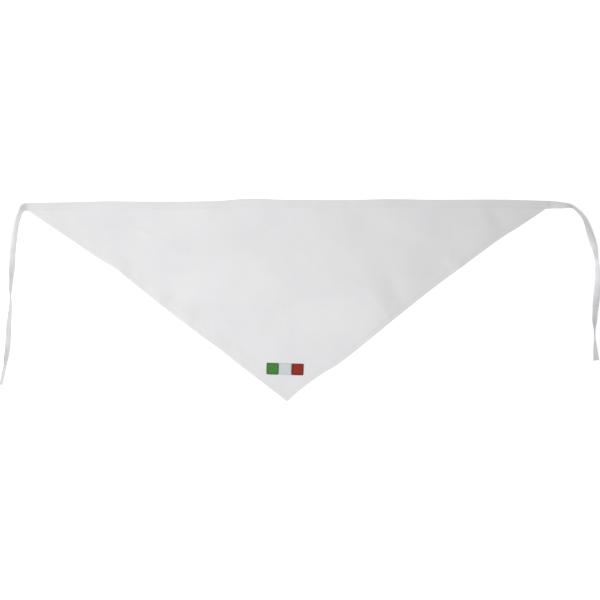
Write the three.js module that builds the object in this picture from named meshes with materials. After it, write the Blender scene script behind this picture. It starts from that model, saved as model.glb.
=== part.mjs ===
// Triangular neckerchief of white cotton twill, laid flat with its front upwards.
// Millimetres. The long neck edge runs along X at the back, the point lies towards -Y,
// and the cloth rests on the surface z = 0. A tape folded over the neck edge binds it,
// and a flat tape tie leaves each upper corner and curls down beside the cloth.
import * as THREE from 'three';

// The triangle of cloth: its neck edge between the two upper corners, the drop from there
// to the point, the blunt ends at the corners, the rise of the neck edge between them, how
// far each side is drawn in, the wall, and the height of its highest fold
const neckEdge = 776;
const drop = 296;
const cornerHeight = 10.5;
const neckRise = 6.6;
const leftDraw = 10;
const rightDraw = 7.3;
const clothWall = 1;
const foldHeight = 6.5;

// The hems turned under along the sides, the step of the cloth down beside them, and the
// width of their ends beside the neck tape
const hemWidth = 8;
const hemWall = 1;
const hemRamp = 4;
const hemTip = 1.5;

// The tape folded over the neck edge, with its width from the fold to the ends of its legs
const bandWidth = 12;
const bandWall = 1;

// The flat tape ties, the left and right ones of their own lengths
const tieWidth = 11;
const tieWall = 1.5;
const tieLeftLength = 273;
const tieRightLength = 276;

// The stripe mark near the point: three blocks in a row, clear of the hems by a margin,
// a little to the left of the point and turned in degrees
const blockWidth = 18.3;
const blockDepth = 17.4;
const blockWall = 1;
const blockMargin = 2.3;
const blockOffset = -3;
const blockTilt = -1.6;

// Clearance between two layers that are sewn together
const seamGap = 0.3;

// How finely the walls are divided
const halfColumns = 28;
const fieldRows = 12;
const tieSteps = 64;

// Colours of the cloth, the tape and the blocks
const clothColour = 0xf0f0f2;
const tapeColour = 0xeeeef0;
const greenColour = 0x4b873a;
const paleColour = 0xdfe4e8;
const redColour = 0x912d26;

// Rise of the neck edge, along it from the left corner, as a share of neckRise
const neckRows = [
  { at: 0.0, value: 0.0 },
  { at: 0.1, value: 0.23 },
  { at: 0.16, value: 0.4 },
  { at: 0.24, value: 0.3 },
  { at: 0.3, value: 0.33 },
  { at: 0.37, value: 0.5 },
  { at: 0.41, value: 0.88 },
  { at: 0.44, value: 1.0 },
  { at: 0.48, value: 0.8 },
  { at: 0.54, value: 0.7 },
  { at: 0.62, value: 0.7 },
  { at: 0.7, value: 0.88 },
  { at: 0.78, value: 0.73 },
  { at: 0.91, value: 0.75 },
  { at: 1.0, value: 0.48 },
];

// How far each side is drawn up, from its corner to the point, as a share of its draw
const leftRows = [
  { at: 0.0, value: 0.0 },
  { at: 0.13, value: 0.3 },
  { at: 0.28, value: 0.66 },
  { at: 0.34, value: 1.0 },
  { at: 0.4, value: 0.81 },
  { at: 0.51, value: 0.54 },
  { at: 0.67, value: 0.35 },
  { at: 0.74, value: 0.4 },
  { at: 0.82, value: 0.22 },
  { at: 1.0, value: 0.0 },
];
const rightRows = [
  { at: 0.0, value: 0.0 },
  { at: 0.11, value: 0.46 },
  { at: 0.18, value: 0.88 },
  { at: 0.34, value: 0.93 },
  { at: 0.41, value: 0.98 },
  { at: 0.57, value: 0.62 },
  { at: 0.72, value: 0.0 },
  { at: 0.8, value: -0.14 },
  { at: 0.87, value: 0.34 },
  { at: 0.95, value: 0.38 },
  { at: 1.0, value: 0.0 },
];

// Soft folds: across is a share of half the neck edge, down, length, breadth and lee are
// shares of the drop, height is a share of foldHeight, and heading is in degrees. Lee is
// the breadth on the left of the heading, and breadth that on its right
const foldRows = [
  { across: 0.336, down: 0.485, heading: -65, length: 0.25, breadth: 0.4, lee: 0.14, height: 1.0 },
  { across: 0.482, down: 0.39, heading: 42, length: 0.17, breadth: 0.1, lee: 0.3, height: 0.45 },
  { across: 0.766, down: 0.113, heading: -60, length: 0.15, breadth: 0.2, lee: 0.08, height: 0.4 },
  { across: -0.24, down: 0.3, heading: 14, length: 0.5, breadth: 0.2, lee: 0.2, height: 0.55 },
  { across: -0.12, down: 0.04, heading: 78, length: 0.14, breadth: 0.14, lee: 0.14, height: 0.2 },
  { across: 0.4, down: 0.05, heading: 100, length: 0.12, breadth: 0.14, lee: 0.14, height: 0.15 },
  { across: -0.64, down: 0.35, heading: 53, length: 0.12, breadth: 0.06, lee: 0.12, height: 0.45 },
  { across: -0.48, down: 0.48, heading: 50, length: 0.1, breadth: 0.05, lee: 0.1, height: 0.3 },
  { across: -0.38, down: 0.58, heading: 55, length: 0.09, breadth: 0.05, lee: 0.1, height: 0.3 },
  { across: 0.66, down: 0.33, heading: 127, length: 0.1, breadth: 0.06, lee: 0.06, height: 0.25 },
];

// Routes of the ties from the ends of the neck tape: out and down are shares of the tie's
// length, roll, in degrees, is how far the tape stands up on its edge or turns over, and
// cup, a share of its width, is how far its middle bulges
const tieLeftRows = [
  { out: 0.0, down: 0.0, roll: 0, cup: 0.0 },
  { out: 0.013, down: 0.001, roll: -16, cup: 0.06 },
  { out: 0.028, down: 0.019, roll: -44, cup: 0.12 },
  { out: 0.046, down: 0.063, roll: -46, cup: 0.14 },
  { out: 0.061, down: 0.128, roll: -36, cup: 0.2 },
  { out: 0.073, down: 0.227, roll: -31, cup: 0.18 },
  { out: 0.079, down: 0.325, roll: -38, cup: 0.1 },
  { out: 0.083, down: 0.39, roll: -58, cup: 0.06 },
  { out: 0.086, down: 0.45, roll: -74, cup: 0.02 },
  { out: 0.087, down: 0.48, roll: -79, cup: 0.0 },
  { out: 0.086, down: 0.51, roll: -79, cup: 0.0 },
  { out: 0.087, down: 0.54, roll: -74, cup: 0.02 },
  { out: 0.091, down: 0.59, roll: -62, cup: 0.05 },
  { out: 0.097, down: 0.653, roll: -46, cup: 0.1 },
  { out: 0.102, down: 0.751, roll: -40, cup: 0.14 },
  { out: 0.109, down: 0.816, roll: -56, cup: 0.1 },
  { out: 0.12, down: 0.882, roll: -68, cup: 0.05 },
  { out: 0.139, down: 0.97, roll: -75, cup: 0.02 },
];
const tieRightRows = [
  { out: 0.0, down: 0.0, roll: 0, cup: 0.0 },
  { out: 0.03, down: 0.0, roll: -8, cup: 0.03 },
  { out: 0.075, down: 0.003, roll: -28, cup: 0.08 },
  { out: 0.119, down: 0.006, roll: -52, cup: 0.1 },
  { out: 0.146, down: 0.018, roll: -64, cup: 0.08 },
  { out: 0.173, down: 0.042, roll: -60, cup: 0.08 },
  { out: 0.196, down: 0.07, roll: -48, cup: 0.12 },
  { out: 0.213, down: 0.106, roll: -30, cup: 0.14 },
  { out: 0.234, down: 0.168, roll: -2, cup: 0.12 },
  { out: 0.253, down: 0.232, roll: 38, cup: 0.12 },
  { out: 0.263, down: 0.297, roll: 70, cup: 0.05 },
  { out: 0.269, down: 0.362, roll: 56, cup: 0.06 },
  { out: 0.271, down: 0.427, roll: 28, cup: 0.1 },
  { out: 0.265, down: 0.492, roll: 5, cup: 0.12 },
  { out: 0.258, down: 0.557, roll: -24, cup: 0.12 },
  { out: 0.253, down: 0.622, roll: -50, cup: 0.08 },
  { out: 0.252, down: 0.686, roll: -73, cup: 0.02 },
  { out: 0.254, down: 0.745, roll: -66, cup: 0.03 },
  { out: 0.261, down: 0.84, roll: -30, cup: 0.08 },
];

// Sizes that follow from the driving dimensions
const halfEdge = neckEdge / 2;
const sideSlope = (drop - cornerHeight) / halfEdge;
const sideSlant = Math.hypot(1, sideSlope);
const bandReach = seamGap + bandWall;
const layerLift = Math.max(hemWall, bandWall) + seamGap;
const hemDepth = hemWidth * sideSlant;
const rampDepth = hemRamp * sideSlant;
const borderDepth = bandWidth + hemRamp + hemDepth + rampDepth;

// Value of a table at a place, on a smooth curve through its rows
function readRows(rows, place) {
  const slopeAt = (index) => {
    const before = rows[Math.max(index - 1, 0)];
    const after = rows[Math.min(index + 1, rows.length - 1)];
    return (after.value - before.value) / (after.at - before.at);
  };
  let index = 0;
  while (index < rows.length - 2 && place > rows[index + 1].at) {
    index += 1;
  }
  const start = rows[index];
  const end = rows[index + 1];
  const span = end.at - start.at;
  const t = THREE.MathUtils.clamp((place - start.at) / span, 0, 1);
  const rise = t * t * (3 - 2 * t);
  const leaving = t * (1 - t) * (1 - t) * span * slopeAt(index);
  const arriving = t * t * (t - 1) * span * slopeAt(index + 1);
  return start.value + (end.value - start.value) * rise + leaving + arriving;
}

// Y of the neck edge at x, which is the fold of the tape
function neckLine(x) {
  return neckRise * readRows(neckRows, (x + halfEdge) / neckEdge);
}

// Y of the left or right side, which meet at the point
function sideLine(x) {
  const along = 1 - Math.abs(x) / halfEdge;
  const isLeft = x < 0;
  const drawn = isLeft ? leftDraw * readRows(leftRows, along) : rightDraw * readRows(rightRows, along);
  const corner = neckLine(isLeft ? -halfEdge : halfEdge) - cornerHeight;
  return THREE.MathUtils.lerp(corner, -drop, along) + drawn;
}

// Y of the hem's inner edge at x, which stays below the neck tape near the corners
function hemLine(x) {
  return Math.min(sideLine(x) + hemDepth, neckLine(x) - bandWidth - seamGap);
}

// Height of a soft swell at a share of its reach, falling to nothing at the rim
function swell(share) {
  return Math.abs(share) < 1 ? Math.cos((share * Math.PI) / 2) ** 2 : 0;
}

// Height of the folds above the surface, which die away before the upper corners
function foldsAt(x, y) {
  let height = 0;
  for (const fold of foldRows) {
    const angle = THREE.MathUtils.degToRad(fold.heading);
    const east = x - fold.across * halfEdge;
    const north = y + fold.down * drop;
    const along = east * Math.cos(angle) + north * Math.sin(angle);
    const across = north * Math.cos(angle) - east * Math.sin(angle);
    const flank = (across > 0 ? fold.lee : fold.breadth) * drop;
    const form = swell(along / (fold.length * drop)) * swell(across / flank);
    height += fold.height * foldHeight * form;
  }
  const fromCorner = (halfEdge - Math.abs(x)) / borderDepth - 1;
  return height * THREE.MathUtils.smoothstep(fromCorner, 0, 1);
}

// Closed mesh from points and triangles, turned so that its faces point outwards
function closedMesh(name, points, faces, colour) {
  let volume = 0;
  for (const [a, b, c] of faces) {
    volume += points[a].dot(points[b].clone().cross(points[c]));
  }
  const turned = volume < 0 ? faces.map(([a, b, c]) => [a, c, b]) : faces;
  const geometry = new THREE.BufferGeometry().setFromPoints(points);
  geometry.setIndex(turned.flat());
  geometry.computeVertexNormals();
  const material = new THREE.MeshStandardMaterial({ color: colour, roughness: 0.9, metalness: 0 });
  const mesh = new THREE.Mesh(geometry, material);
  mesh.name = name;
  return mesh;
}

// Closed solid through a list of rings of points, with its two ends capped by a section
// that holds the same points flat
function ringSolid(name, rings, section, colour) {
  const size = section.length;
  const caps = THREE.ShapeUtils.triangulateShape(section, []);
  const last = (rings.length - 1) * size;
  const faces = [];
  for (const [a, b, c] of caps) {
    faces.push([a, c, b], [last + a, last + b, last + c]);
  }
  for (let ring = 0; ring < rings.length - 1; ring += 1) {
    for (let corner = 0; corner < size; corner += 1) {
      const a = ring * size + corner;
      const b = ring * size + ((corner + 1) % size);
      faces.push([a, b, b + size], [a, b + size, a + size]);
    }
  }
  return closedMesh(name, rings.flat(), faces, colour);
}

// Wall of cloth over a grid of points on its underside: columns of equal numbers of rows
function sheetSolid(name, columns, wall, colour) {
  const across = columns.length;
  const down = columns[0].length;
  const under = columns.flat();
  const over = under.map((point) => point.clone().setZ(point.z + wall));
  const at = (column, row) => column * down + row;
  const faces = [];
  for (let column = 0; column < across - 1; column += 1) {
    for (let row = 0; row < down - 1; row += 1) {
      const corners = [at(column, row), at(column + 1, row), at(column + 1, row + 1), at(column, row + 1)];
      const [a, b, c, d] = corners;
      const [e, f, g, h] = corners.map((index) => index + under.length);
      faces.push([a, b, c], [a, c, d], [e, g, f], [e, h, g]);
    }
  }
  const rim = [];
  for (let column = 0; column < across - 1; column += 1) {
    rim.push([at(column, 0), at(column + 1, 0)], [at(column + 1, down - 1), at(column, down - 1)]);
  }
  for (let row = 0; row < down - 1; row += 1) {
    rim.push([at(0, row + 1), at(0, row)], [at(across - 1, row), at(across - 1, row + 1)]);
  }
  for (const [a, b] of rim) {
    faces.push([b, a, a + under.length], [b, a + under.length, b + under.length]);
  }
  return closedMesh(name, [...under, ...over], faces, colour);
}

// Places of the columns along the neck edge, one of them at the point
function columnPlaces() {
  const places = [];
  for (let column = -halfColumns; column <= halfColumns; column += 1) {
    places.push((column / halfColumns) * halfEdge);
  }
  return places;
}

// One column of the cloth's underside: it lies on the neck tape's back leg and on the hem,
// steps down beside them, and rests on the surface in between. In the narrow corners it
// stays level, because the tape and the hem leave it no room to step down
function clothColumn(x) {
  const top = neckLine(x) - bandReach;
  const bottom = sideLine(x);
  const bandLine = neckLine(x) - bandWidth;
  const inner = hemLine(x);
  const isInBand = inner < bottom + hemTip / 2;
  const isOpen = neckLine(x) - bottom > borderDepth;
  const step = isOpen ? 1 : (bandLine - inner) / (2 * (hemRamp + rampDepth));
  const fieldTop = bandLine - hemRamp * step;
  const fieldBottom = inner + rampDepth * step;
  const last = fieldRows + 4;
  const rows = [];
  for (let row = 0; row <= last; row += 1) {
    rows.push({ y: THREE.MathUtils.lerp(top, bottom, row / last), lift: layerLift });
  }
  if (!isInBand) {
    rows[1].y = bandLine;
    rows[last - 1].y = inner;
    for (let row = 0; row <= fieldRows; row += 1) {
      rows[row + 2].y = THREE.MathUtils.lerp(fieldTop, fieldBottom, row / fieldRows);
      rows[row + 2].lift = isOpen ? 0 : layerLift;
    }
  }
  return rows.map(({ y, lift }) => new THREE.Vector3(x, y, lift + foldsAt(x, y)));
}

// The triangle of cloth
function makePanel() {
  return sheetSolid('panel', columnPlaces().map(clothColumn), clothWall, clothColour);
}

// Hem turned under along one side, from the neck tape to the point
function makeHem(name, side) {
  const start = halfEdge - Math.max(bandWidth + seamGap + hemTip - cornerHeight, 0) / sideSlope;
  const end = seamGap / 2;
  const between = columnPlaces().filter((x) => x * side < start - seamGap && x * side > end + seamGap);
  const places = [start * side, ...between, end * side].sort((a, b) => a - b);
  const columns = places.map((x) => [hemLine(x), sideLine(x)].map(
    (y) => new THREE.Vector3(x, y, foldsAt(x, y)),
  ));
  return sheetSolid(name, columns, hemWall, clothColour);
}

// Tape folded over the neck edge, with the cloth between its two legs. The section runs
// along its back leg, round the fold, along its front leg, and back on the inside
function makeNeckBand() {
  const stack = clothWall + 2 * bandReach;
  const foldStart = -bandReach;
  const bulge = -bandReach / 4;
  const section = [
    new THREE.Vector2(-bandWidth, 0),
    new THREE.Vector2(foldStart, 0),
    new THREE.Vector2(bulge, stack / 7),
    new THREE.Vector2(0, stack / 2),
    new THREE.Vector2(bulge, (stack * 6) / 7),
    new THREE.Vector2(foldStart, stack),
    new THREE.Vector2(-bandWidth, stack),
    new THREE.Vector2(-bandWidth, stack - bandWall),
    new THREE.Vector2(foldStart, stack - bandWall),
    new THREE.Vector2(foldStart + seamGap, stack / 2),
    new THREE.Vector2(foldStart, bandWall),
    new THREE.Vector2(-bandWidth, bandWall),
  ];
  const rings = columnPlaces().map((x) => section.map((corner) => {
    const y = neckLine(x) + corner.x;
    const foldY = neckLine(x) + Math.min(corner.x, foldStart);
    return new THREE.Vector3(x, y, corner.y + foldsAt(x, foldY));
  }));
  return ringSolid('neck_band', rings, section, tapeColour);
}

// Section of a flat tape, whose middle bulges by cup, a share of its width
function tapeSection(cup) {
  const half = tieWidth / 2;
  const thick = tieWall / 2;
  const places = [-half + thick, -half / 2, 0, half / 2, half - thick];
  const chord = 1 - (8 / 3) * cup ** 2;
  const bend = (across, offset) => new THREE.Vector2(
    across * chord,
    offset + cup * tieWidth * (1 - (across / half) ** 2),
  );
  return [
    bend(-half, 0),
    ...places.map((across) => bend(across, -thick)),
    bend(half, 0),
    ...[...places].reverse().map((across) => bend(across, thick)),
  ];
}

// Flat tape tie from one end of the neck tape. Its lower edge always lies on the surface,
// so the middle of the tape rises as it rolls
function makeTie(name, side, length, rows) {
  const rootX = halfEdge + seamGap;
  const rootY = neckLine(side * halfEdge) - bandWidth / 2;
  const route = rows.map(({ out, down }) => new THREE.Vector3(
    side * (rootX + out * length),
    rootY - down * length,
    0,
  ));
  const curve = new THREE.CatmullRomCurve3(route, false, 'centripetal');
  const rolls = rows.map(({ roll }, index) => ({ at: index / (rows.length - 1), value: roll }));
  const cups = rows.map(({ cup }, index) => ({ at: index / (rows.length - 1), value: cup }));
  const rings = [];
  for (let step = 0; step <= tieSteps; step += 1) {
    const place = curve.getUtoTmapping(step / tieSteps);
    const centre = curve.getPoint(place);
    const heading = step === 0 ? new THREE.Vector3(side, 0, 0) : curve.getTangent(place);
    const sideways = new THREE.Vector3(-heading.y, heading.x, 0).normalize();
    const roll = THREE.MathUtils.degToRad(readRows(rolls, place));
    const ring = tapeSection(readRows(cups, place)).map((corner) => {
      const flat = corner.x * Math.cos(roll) - corner.y * Math.sin(roll);
      const high = corner.x * Math.sin(roll) + corner.y * Math.cos(roll);
      return centre.clone().addScaledVector(sideways, flat).setZ(high);
    });
    const lowest = Math.min(...ring.map((point) => point.z));
    rings.push(ring.map((point) => point.setZ(point.z - lowest)));
  }
  return ringSolid(name, rings, tapeSection(0), tapeColour);
}

// One block of the stripe mark, laid on the front of the cloth above the point. Place is
// -1, 0 or 1 along the row
function makeBlock(name, place, colour) {
  const rowHalf = blockWidth * 1.5 + seamGap;
  const toHem = (rowHalf + Math.abs(blockOffset)) * sideSlope + hemDepth + rampDepth;
  const centreY = -drop + toHem + blockMargin + blockDepth / 2;
  const tilt = THREE.MathUtils.degToRad(blockTilt);
  const columns = [-0.5, 0.5].map((across) => [0.5, -0.5].map((up) => {
    const east = place * (blockWidth + seamGap) + across * blockWidth;
    const north = up * blockDepth;
    const x = blockOffset + east * Math.cos(tilt) - north * Math.sin(tilt);
    const y = centreY + east * Math.sin(tilt) + north * Math.cos(tilt);
    return new THREE.Vector3(x, y, clothWall + seamGap + foldsAt(x, y));
  }));
  return sheetSolid(name, columns, blockWall, colour);
}

const neckerchief = new THREE.Group();
neckerchief.add(
  makePanel(),
  makeHem('hem_left', -1),
  makeHem('hem_right', 1),
  makeNeckBand(),
  makeTie('tie_left', -1, tieLeftLength, tieLeftRows),
  makeTie('tie_right', 1, tieRightLength, tieRightRows),
  makeBlock('stripe_green', -1, greenColour),
  makeBlock('stripe_white', 0, paleColour),
  makeBlock('stripe_red', 1, redColour),
);

// The origin is on the surface, under the middle of the whole piece
const middle = new THREE.Box3().setFromObject(neckerchief).getCenter(new THREE.Vector3());
neckerchief.position.set(-middle.x, -middle.y, 0);

export default neckerchief;
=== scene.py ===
"""Triangular cotton neckerchief, laid flat on a pale floor and seen from straight above.

The cut, the table of soft folds and the routes of the ties are those of the solids, in metres.
On top of them come the folded hem edges, seam puckers, creases, weave and stitching.
"""
import logging
import math
from dataclasses import dataclass, field
from enum import Enum
from typing import NamedTuple

import bpy
import mathutils
import numpy as np
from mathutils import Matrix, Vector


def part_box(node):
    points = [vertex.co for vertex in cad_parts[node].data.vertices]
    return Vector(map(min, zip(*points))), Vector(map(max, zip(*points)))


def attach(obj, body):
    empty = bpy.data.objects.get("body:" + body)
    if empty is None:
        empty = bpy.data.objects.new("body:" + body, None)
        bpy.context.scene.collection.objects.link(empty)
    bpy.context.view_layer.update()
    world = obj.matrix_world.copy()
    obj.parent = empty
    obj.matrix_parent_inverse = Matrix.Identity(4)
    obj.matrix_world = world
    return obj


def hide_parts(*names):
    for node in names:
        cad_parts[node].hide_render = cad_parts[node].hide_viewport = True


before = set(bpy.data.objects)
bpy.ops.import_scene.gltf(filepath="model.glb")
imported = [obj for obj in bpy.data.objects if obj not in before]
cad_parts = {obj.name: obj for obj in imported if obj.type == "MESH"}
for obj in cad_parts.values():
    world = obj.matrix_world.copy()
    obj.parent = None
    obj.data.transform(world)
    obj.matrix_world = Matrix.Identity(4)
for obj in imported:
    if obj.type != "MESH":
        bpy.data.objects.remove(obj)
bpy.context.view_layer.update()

Array = np.ndarray
LOG = logging.getLogger("neckerchief")


class Side(Enum):
    """The two short sides of the triangle, as the sign of x."""

    LEFT = -1
    RIGHT = 1

    @property
    def word(self) -> str:
        """Name of the side for the names of its pieces."""
        return self.name.lower()


class Slot(Enum):
    """Finishes of the record that the pieces take."""

    CLOTH = "cloth"
    TAPE = "tape"
    GREEN = "green_stripe"
    WHITE = "white_stripe"
    RED = "red_stripe"


class Row(NamedTuple):
    """A value at a place along an edge, both as shares."""

    at: float
    value: float


class Fold(NamedTuple):
    """A soft fold. Across is a share of half the neck edge, down, length, breadth and lee of
    the drop, height of the highest fold, and heading is in degrees. Lee is the breadth on
    the left of the heading, and breadth that on its right."""

    across: float
    down: float
    heading: float
    length: float
    breadth: float
    lee: float
    height: float


class Turn(NamedTuple):
    """A point on a tie's route, as shares of its length, with its roll in degrees and how
    far its middle bulges, as a share of its width."""

    out: float
    down: float
    roll: float
    cup: float


NECK_ROWS = (
    Row(0.0, 0.0), Row(0.1, 0.23), Row(0.16, 0.4), Row(0.24, 0.3), Row(0.3, 0.33),
    Row(0.37, 0.5), Row(0.41, 0.88), Row(0.44, 1.0), Row(0.48, 0.8), Row(0.54, 0.7),
    Row(0.62, 0.7), Row(0.7, 0.88), Row(0.78, 0.73), Row(0.91, 0.75), Row(1.0, 0.48),
)
LEFT_ROWS = (
    Row(0.0, 0.0), Row(0.13, 0.3), Row(0.28, 0.66), Row(0.34, 1.0), Row(0.4, 0.81),
    Row(0.51, 0.54), Row(0.67, 0.35), Row(0.74, 0.4), Row(0.82, 0.22), Row(1.0, 0.0),
)
RIGHT_ROWS = (
    Row(0.0, 0.0), Row(0.11, 0.46), Row(0.18, 0.88), Row(0.34, 0.93), Row(0.41, 0.98),
    Row(0.57, 0.62), Row(0.72, 0.0), Row(0.8, -0.14), Row(0.87, 0.34), Row(0.95, 0.38),
    Row(1.0, 0.0),
)
FOLDS = (
    Fold(0.336, 0.485, -65, 0.25, 0.4, 0.14, 1.0),
    Fold(0.482, 0.39, 42, 0.17, 0.1, 0.3, 0.45),
    Fold(0.766, 0.113, -60, 0.15, 0.2, 0.08, 0.4),
    Fold(-0.24, 0.3, 14, 0.5, 0.2, 0.2, 0.55),
    Fold(-0.12, 0.04, 78, 0.14, 0.14, 0.14, 0.2),
    Fold(0.4, 0.05, 100, 0.12, 0.14, 0.14, 0.15),
    Fold(-0.64, 0.35, 53, 0.12, 0.06, 0.12, 0.45),
    Fold(-0.48, 0.48, 50, 0.1, 0.05, 0.1, 0.3),
    Fold(-0.38, 0.58, 55, 0.09, 0.05, 0.1, 0.3),
    Fold(0.66, 0.33, 127, 0.1, 0.06, 0.06, 0.25),
)
LEFT_TURNS = (
    Turn(0.0, 0.0, 0, 0.0), Turn(0.013, 0.001, -16, 0.06), Turn(0.028, 0.019, -44, 0.12),
    Turn(0.046, 0.063, -46, 0.14), Turn(0.061, 0.128, -36, 0.2), Turn(0.073, 0.227, -31, 0.18),
    Turn(0.079, 0.325, -38, 0.1), Turn(0.083, 0.39, -58, 0.06), Turn(0.086, 0.45, -74, 0.02),
    Turn(0.087, 0.48, -79, 0.0), Turn(0.086, 0.51, -79, 0.0), Turn(0.087, 0.54, -74, 0.02),
    Turn(0.091, 0.59, -62, 0.05), Turn(0.097, 0.653, -46, 0.1), Turn(0.102, 0.751, -40, 0.14),
    Turn(0.109, 0.816, -56, 0.1), Turn(0.12, 0.882, -68, 0.05), Turn(0.139, 0.97, -75, 0.02),
)
RIGHT_TURNS = (
    Turn(0.0, 0.0, 0, 0.0), Turn(0.03, 0.0, -8, 0.03), Turn(0.075, 0.003, -28, 0.08),
    Turn(0.119, 0.006, -52, 0.1), Turn(0.146, 0.018, -64, 0.08), Turn(0.173, 0.042, -60, 0.08),
    Turn(0.196, 0.07, -48, 0.12), Turn(0.213, 0.106, -30, 0.14), Turn(0.234, 0.168, -2, 0.12),
    Turn(0.253, 0.232, 38, 0.12), Turn(0.263, 0.297, 70, 0.05), Turn(0.269, 0.362, 56, 0.06),
    Turn(0.271, 0.427, 28, 0.1), Turn(0.265, 0.492, 5, 0.12), Turn(0.258, 0.557, -24, 0.12),
    Turn(0.253, 0.622, -50, 0.08), Turn(0.252, 0.686, -73, 0.02), Turn(0.254, 0.745, -66, 0.03),
    Turn(0.261, 0.84, -30, 0.08),
)


def smooth_step(value: Array) -> Array:
    """Smooth rise from 0 to 1 as the value goes from 0 to 1."""
    share = np.clip(value, 0.0, 1.0)
    return share * share * (3 - 2 * share)


def read_rows(rows: tuple[Row, ...], place: Array) -> Array:
    """Read a table on a smooth curve through its rows.

    Args:
        rows: The table, in order of place.
        place: The places to read it at.

    Returns:
        The value at each place.
    """
    at = np.array([row.at for row in rows])
    value = np.array([row.value for row in rows])
    before = np.maximum(np.arange(len(rows)) - 1, 0)
    after = np.minimum(np.arange(len(rows)) + 1, len(rows) - 1)
    slope = (value[after] - value[before]) / (at[after] - at[before])
    index = np.clip(np.searchsorted(at, place, side="left") - 1, 0, len(rows) - 2)
    span = at[index + 1] - at[index]
    t = np.clip((place - at[index]) / span, 0.0, 1.0)
    rise = t * t * (3 - 2 * t)
    leaving = t * (1 - t) ** 2 * span * slope[index]
    arriving = t * t * (t - 1) * span * slope[index + 1]
    return value[index] + (value[index + 1] - value[index]) * rise + leaving + arriving


def swell(share: Array) -> Array:
    """Height of a soft swell at a share of its reach, falling to nothing at the rim."""
    return np.where(np.abs(share) < 1, np.cos(np.clip(share, -1, 1) * math.pi / 2) ** 2, 0.0)


@dataclass(frozen=True)
class Pattern:
    """Cut and made-up sizes of the neckerchief. Its x is 0 at the point, its y at the corners."""

    neck_edge: float = 0.776
    drop: float = 0.296
    corner_height: float = 0.0105
    neck_rise: float = 0.0066
    left_draw: float = 0.010
    right_draw: float = 0.0073
    cloth_wall: float = 0.0004
    fold_height: float = 0.0065
    hem_width: float = 0.008
    hem_wall: float = 0.0004
    hem_ramp: float = 0.004
    hem_ease: float = 0.014
    hem_tip: float = 0.0015
    band_width: float = 0.012
    band_wall: float = 0.00045
    band_ease: float = 0.012
    seam_gap: float = 0.0003
    layer_gap: float = 0.00006

    @property
    def half_edge(self) -> float:
        """Half the neck edge."""
        return self.neck_edge / 2

    @property
    def side_slope(self) -> float:
        """Fall of the sides towards the point."""
        return (self.drop - self.corner_height) / self.half_edge

    @property
    def slant(self) -> float:
        """Length along y that goes with a unit square to a side."""
        return math.hypot(1.0, self.side_slope)

    @property
    def band_reach(self) -> float:
        """Room between the fold of the neck tape and the edge of the cloth in it."""
        return self.seam_gap + self.band_wall

    @property
    def layer_lift(self) -> float:
        """Height of the cloth over a layer turned under it."""
        return max(self.hem_wall, self.band_wall) + self.layer_gap

    @property
    def stack(self) -> float:
        """Height of the neck tape with the cloth in it."""
        return self.cloth_wall + 2 * (self.band_wall + self.layer_gap)

    @property
    def border_depth(self) -> float:
        """Height of the cloth at which its field begins."""
        edges = self.band_width + self.hem_ramp
        return edges + (self.hem_width + self.hem_ramp) * self.slant

    def neck_line(self, x: Array) -> Array:
        """Y of the neck edge, which is the fold of the tape."""
        return self.neck_rise * read_rows(NECK_ROWS, (x + self.half_edge) / self.neck_edge)

    def side_line(self, x: Array) -> Array:
        """Y of the left or right side, which meet at the point.

        Args:
            x: Places along the neck edge.

        Returns:
            The y of the side below each place.
        """
        along = 1 - np.abs(x) / self.half_edge
        left = self.left_draw * read_rows(LEFT_ROWS, along)
        right = self.right_draw * read_rows(RIGHT_ROWS, along)
        ends = self.neck_line(np.array([-self.half_edge, self.half_edge])) - self.corner_height
        corner = np.where(x < 0, ends[0], ends[1])
        return corner + (-self.drop - corner) * along + np.where(x < 0, left, right)

    def hem_line(self, x: Array) -> Array:
        """Y of the hem's inner edge, which stays below the neck tape near the corners."""
        inner = self.side_line(x) + self.hem_width * self.slant
        return np.minimum(inner, self.neck_line(x) - self.band_width - self.seam_gap)

    def folds(self, x: Array, y: Array) -> Array:
        """Height of the soft folds above the floor, which die away before the corners.

        Args:
            x: Places across the cloth.
            y: Places down the cloth.

        Returns:
            The height at each place.
        """
        height = np.zeros(np.broadcast(x, y).shape)
        for fold in FOLDS:
            angle = math.radians(fold.heading)
            east = x - fold.across * self.half_edge
            north = y + fold.down * self.drop
            along = east * math.cos(angle) + north * math.sin(angle)
            across = north * math.cos(angle) - east * math.sin(angle)
            flank = np.where(across > 0, fold.lee, fold.breadth) * self.drop
            form = swell(along / (fold.length * self.drop)) * swell(across / flank)
            height = height + fold.height * self.fold_height * form
        inward = (self.half_edge - np.abs(x)) / self.border_depth - 1
        return height * smooth_step(inward)


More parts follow.
